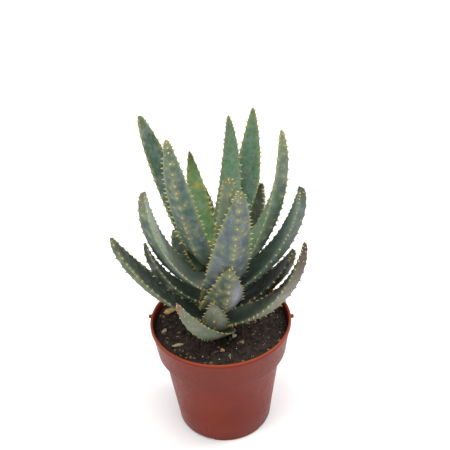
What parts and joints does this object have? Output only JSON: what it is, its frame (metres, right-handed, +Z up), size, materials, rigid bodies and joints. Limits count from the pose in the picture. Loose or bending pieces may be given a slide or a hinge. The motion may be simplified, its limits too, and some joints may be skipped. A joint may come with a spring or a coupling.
{
  "type": "potted spiny aloe",
  "caption": "Young spiny aloe, a loose rosette of keeled pointed leaves on a short stem, in soil in a round plastic nursery pot.",
  "frame": {"origin": "centre of the pot's underside, on the surface that it stands on", "axes": "+Z up along the pot's axis, -Y towards the viewer in the picture, +X to the viewer's right"},
  "size_m": [0.1351, 0.1101, 0.2623],
  "materials": {
    "pot_plastic": "smooth satin moulded plastic, terracotta red",
    "potting_soil": "rough dark peat",
    "leaf_green": "matte waxy grey-green skin with cream spines",
    "leaf_young": "matte fresh green skin with cream spines",
    "leaf_olive": "matte pale olive-grey skin with cream spines",
    "leaf_dry_purple": "matte grey-green skin drying to purple-brown at the tip",
    "bark": "rough dry bark",
    "grit": "rough orange-tan stone",
    "perlite": "chalky white perlite"
  },
  "bodies": {
    "root": {"pot": "pot_plastic", "soil": "potting_soil", "stem": "leaf_green", "leaf_01_front_left_low": "leaf_olive", "leaf_02_front_low": "leaf_olive", "leaf_03_right_low": "leaf_dry_purple", "leaf_04_left_low": "leaf_green", "leaf_05_back_low": "leaf_green", "leaf_06_front_middle": "leaf_green", "leaf_07_back_left_low": "leaf_green", "leaf_08_right_dark": "leaf_green", "leaf_09_left_dark": "leaf_green", "leaf_10_front_large": "leaf_green", "leaf_11_back_middle": "leaf_green", "leaf_12_back_right_dark": "leaf_green", "leaf_13_right_curved": "leaf_green", "leaf_14_back_left_middle": "leaf_green", "leaf_15_left_curved": "leaf_green", "leaf_16_back_right_tall": "leaf_green", "leaf_17_right_tall": "leaf_green", "leaf_18_front_upright": "leaf_green", "leaf_19_back_left_tall": "leaf_green", "leaf_20_back_tall": "leaf_green", "leaf_21_left_tall": "leaf_green", "leaf_22_young": "leaf_young", "leaf_23_heart": "leaf_young", "leaf_24_heart": "leaf_young", "bark_chip_large": "bark", "bark_chip_long": "bark", "bark_chip_small": "bark", "grit_stone": "grit", "perlite_crumb": "perlite"}
  },
  "joints": []
}
